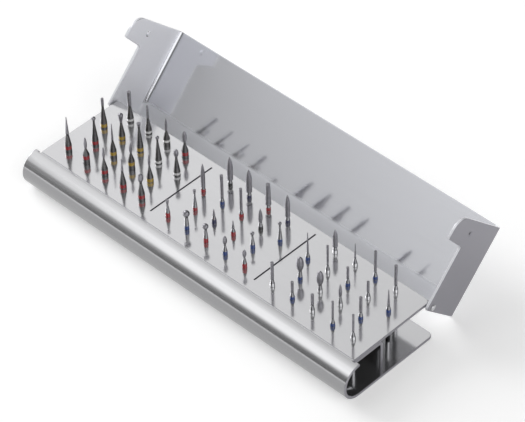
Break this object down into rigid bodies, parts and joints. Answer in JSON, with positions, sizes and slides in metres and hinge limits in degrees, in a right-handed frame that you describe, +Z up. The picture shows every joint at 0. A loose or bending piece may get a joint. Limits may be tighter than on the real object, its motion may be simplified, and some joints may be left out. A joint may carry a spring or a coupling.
{
  "type": "dental bur block",
  "caption": "Bench stand of bent sheet steel that holds dental burs upright in staggered rows, with a hinged lid.",
  "frame": {"origin": "on the underside, below the centre of the field of bur holes", "axes": "+X along the block to its right end, +Y to the hinged rear, +Z up"},
  "size_m": [0.1432, 0.0733, 0.0405],
  "materials": {
    "sheet_steel": "satin",
    "pin_steel": "polished",
    "bur_steel": "polished"
  },
  "bodies": {
    "base": {"base_sheet": "sheet_steel", "bracket": "sheet_steel", "hinge_pin_left": "pin_steel", "hinge_pin_right": "pin_steel", "bur_left_11_needle": "bur_steel", "bur_left_12_flame": "bur_steel", "bur_left_13_flame": "bur_steel", "bur_left_14_needle": "bur_steel", "bur_left_15_egg": "bur_steel", "bur_left_21_ball": "bur_steel", "bur_left_22_needle": "bur_steel", "bur_left_23_flame": "bur_steel", "bur_left_24_flame": "bur_steel", "bur_left_31_cylinder": "bur_steel", "bur_left_32_pear": "bur_steel", "bur_left_33_cone": "bur_steel", "bur_left_34_ball": "bur_steel", "bur_left_35_egg": "bur_steel", "bur_left_41_cylinder": "bur_steel", "bur_left_42_taper": "bur_steel", "bur_left_43_flame": "bur_steel", "bur_left_44_egg": "bur_steel", "bur_middle_11_cone": "bur_steel", "bur_middle_12_ball": "bur_steel", "bur_middle_13_ball": "bur_steel", "bur_middle_14_egg": "bur_steel", "bur_middle_15_egg": "bur_steel", "bur_middle_21_cone": "bur_steel", "bur_middle_22_needle": "bur_steel", "bur_middle_23_needle": "bur_steel", "bur_middle_24_ball": "bur_steel", "bur_middle_31_torpedo": "bur_steel", "bur_middle_32_cylinder": "bur_steel", "bur_middle_33_cylinder": "bur_steel", "bur_middle_34_flame": "bur_steel", "bur_middle_35_ball": "bur_steel", "bur_middle_41_torpedo": "bur_steel", "bur_middle_42_torpedo": "bur_steel", "bur_middle_43_taper": "bur_steel", "bur_middle_44_torpedo": "bur_steel", "bur_right_11_cylinder": "bur_steel", "bur_right_12_cylinder": "bur_steel", "bur_right_13_cylinder": "bur_steel", "bur_right_14_cylinder": "bur_steel", "bur_right_15_cylinder": "bur_steel", "bur_right_21_egg": "bur_steel", "bur_right_22_egg": "bur_steel", "bur_right_23_flame": "bur_steel", "bur_right_24_cylinder": "bur_steel", "bur_right_31_needle": "bur_steel", "bur_right_32_cylinder": "bur_steel", "bur_right_33_cylinder": "bur_steel", "bur_right_34_cylinder": "bur_steel", "bur_right_35_needle": "bur_steel", "bur_right_41_torpedo": "bur_steel", "bur_right_42_needle": "bur_steel", "bur_right_43_cylinder": "bur_steel", "bur_right_44_cylinder": "bur_steel"},
    "lid": {"lid": "sheet_steel"}
  },
  "joints": [
    {"name": "lid_hinge", "type": "hinge", "parent": "base", "child": "lid", "pos_m": [0, 0.0159, 0.0121], "axis": [1, 0, 0], "range_deg": [0, 129.3]}
  ]
}
